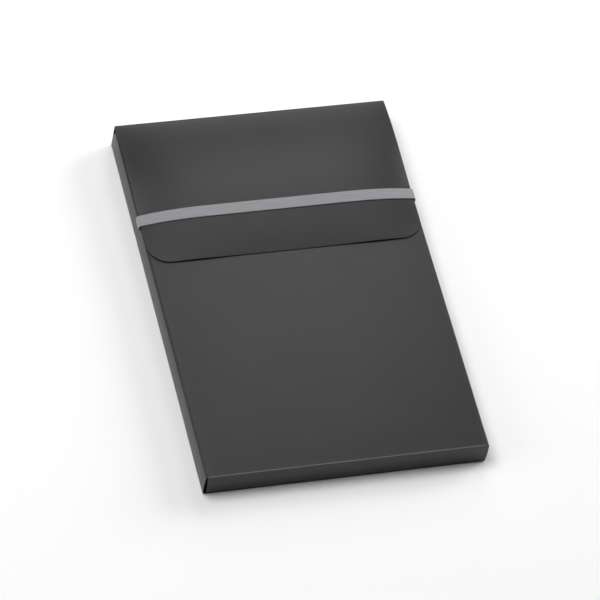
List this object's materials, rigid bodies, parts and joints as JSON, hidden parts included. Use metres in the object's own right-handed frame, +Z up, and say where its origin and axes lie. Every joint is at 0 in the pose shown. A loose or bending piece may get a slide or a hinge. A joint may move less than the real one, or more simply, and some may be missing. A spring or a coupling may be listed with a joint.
{
  "type": "document case",
  "caption": "Slim A4 document case folded from one creased plastic sheet, open at the top end under a wrap-over flap, held shut by an elastic band across it.",
  "frame": {"origin": "centre of the case's footprint, on the surface it lies on", "axes": "+X to the right across the front, +Y along the case towards the folded top end, +Z up out of the front face, the case lying on its back"},
  "size_m": [0.2258, 0.338, 0.03],
  "materials": {
    "case_sheet": "fine-grained matt polypropylene sheet, charcoal grey",
    "elastic": "ribbed woven elastic, light grey",
    "thread": "grey sewing thread"
  },
  "bodies": {
    "case": {"front_panel": "case_sheet", "back_panel": "case_sheet", "left_side_panel": "case_sheet", "right_side_panel": "case_sheet", "front_left_crease": "case_sheet", "front_right_crease": "case_sheet", "back_left_crease": "case_sheet", "back_right_crease": "case_sheet", "seam_tab": "case_sheet", "bottom_crease": "case_sheet", "bottom_panel": "case_sheet", "bottom_tab_crease": "case_sheet", "bottom_tab": "case_sheet", "spine_crease": "case_sheet", "elastic_band": "elastic", "elastic_stitching": "thread"},
    "spine": {"spine_panel": "case_sheet", "flap_crease": "case_sheet"},
    "flap": {"closure_flap": "case_sheet"}
  },
  "joints": [
    {"name": "spine_fold", "type": "hinge", "parent": "case", "child": "spine", "pos_m": [0, 0.1686, 0.0004], "axis": [-1, 0, 0], "range_deg": [0, 80], "deforming": ["elastic_band", "elastic_stitching"]},
    {"name": "flap_fold", "type": "hinge", "parent": "spine", "child": "flap", "pos_m": [0, 0.1686, 0.0226], "axis": [-1, 0, 0], "range_deg": [0, 90], "deforming": ["elastic_band", "elastic_stitching"]}
  ]
}
